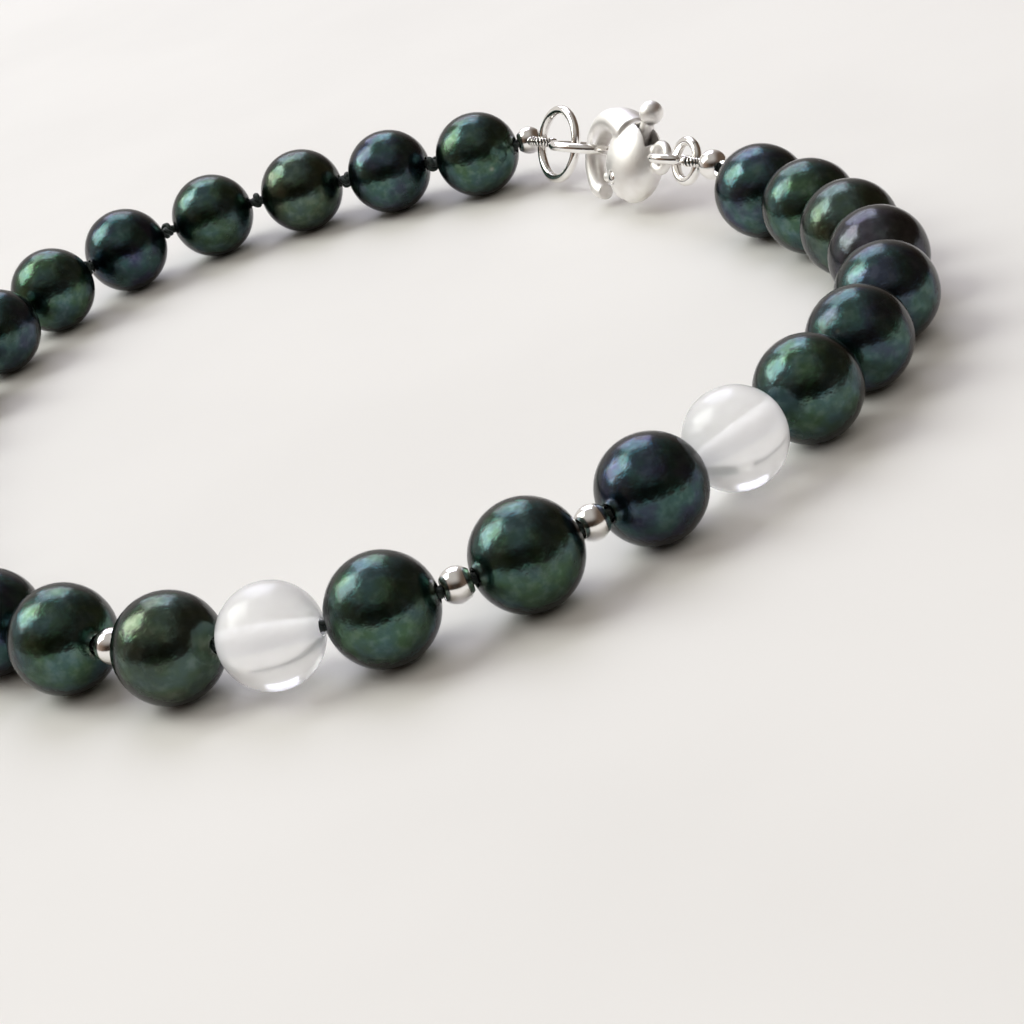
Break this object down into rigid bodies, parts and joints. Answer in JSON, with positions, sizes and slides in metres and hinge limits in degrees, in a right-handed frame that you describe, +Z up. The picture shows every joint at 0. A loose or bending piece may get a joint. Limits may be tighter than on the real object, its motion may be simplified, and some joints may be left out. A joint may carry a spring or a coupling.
{
  "type": "pearl bracelet",
  "caption": "Knotted bracelet of dark round pearls with clear stone beads and small silver balls, fastened by a lobster clasp whose lever is hinged, lying flat.",
  "frame": {"origin": "middle of the bracelet's outline on the surface it lies on", "axes": "+Z up, -Y the side with the stones and silver balls that faces the viewer, +Y the longer way across the loop"},
  "size_m": [0.0634, 0.076, 0.0067],
  "materials": {
    "pearl": "dark peacock green nacre, lustrous",
    "moonstone": "clear milky stone, polished",
    "silver_ball": "mirror-polished silver",
    "silk": "twisted silk, dark green",
    "guard_wire": "fine coiled silver wire",
    "ring_wire": "polished silver wire",
    "clasp_silver": "polished cast silver, softly worn"
  },
  "bodies": {
    "bracelet": {"pearl_01": "pearl", "pearl_02": "pearl", "pearl_03": "pearl", "pearl_04": "pearl", "pearl_05": "pearl", "pearl_06": "pearl", "pearl_07": "pearl", "pearl_08": "pearl", "pearl_09": "pearl", "pearl_10": "pearl", "pearl_11": "pearl", "pearl_12": "pearl", "pearl_13": "pearl", "pearl_14": "pearl", "pearl_15": "pearl", "pearl_16": "pearl", "pearl_17": "pearl", "pearl_18": "pearl", "pearl_19": "pearl", "pearl_20": "pearl", "pearl_21": "pearl", "pearl_22": "pearl", "pearl_23": "pearl", "pearl_24": "pearl", "pearl_25": "pearl", "pearl_26": "pearl", "pearl_27": "pearl", "moonstone_1": "moonstone", "moonstone_2": "moonstone", "silver_ball_1": "silver_ball", "silver_ball_2": "silver_ball", "silver_ball_3": "silver_ball", "silver_ball_4": "silver_ball", "silver_ball_5": "silver_ball", "silk_thread": "silk", "wire_guard_1": "guard_wire", "wire_guard_2": "guard_wire", "jump_ring_1": "ring_wire", "jump_ring_2": "ring_wire", "jump_ring_3": "ring_wire", "jump_ring_4": "ring_wire", "clasp_body": "clasp_silver", "clasp_rivet": "clasp_silver"},
    "lever": {"clasp_lever": "clasp_silver"}
  },
  "joints": [
    {"name": "lever_pivot", "type": "hinge", "parent": "bracelet", "child": "lever", "pos_m": [0.01965, 0.01713, 0.00208], "axis": [0.8396, 0.3421, -0.422], "range_deg": [0, 14], "stiffness_Nm_per_rad": 0.002, "springref_deg": -8.59}
  ]
}
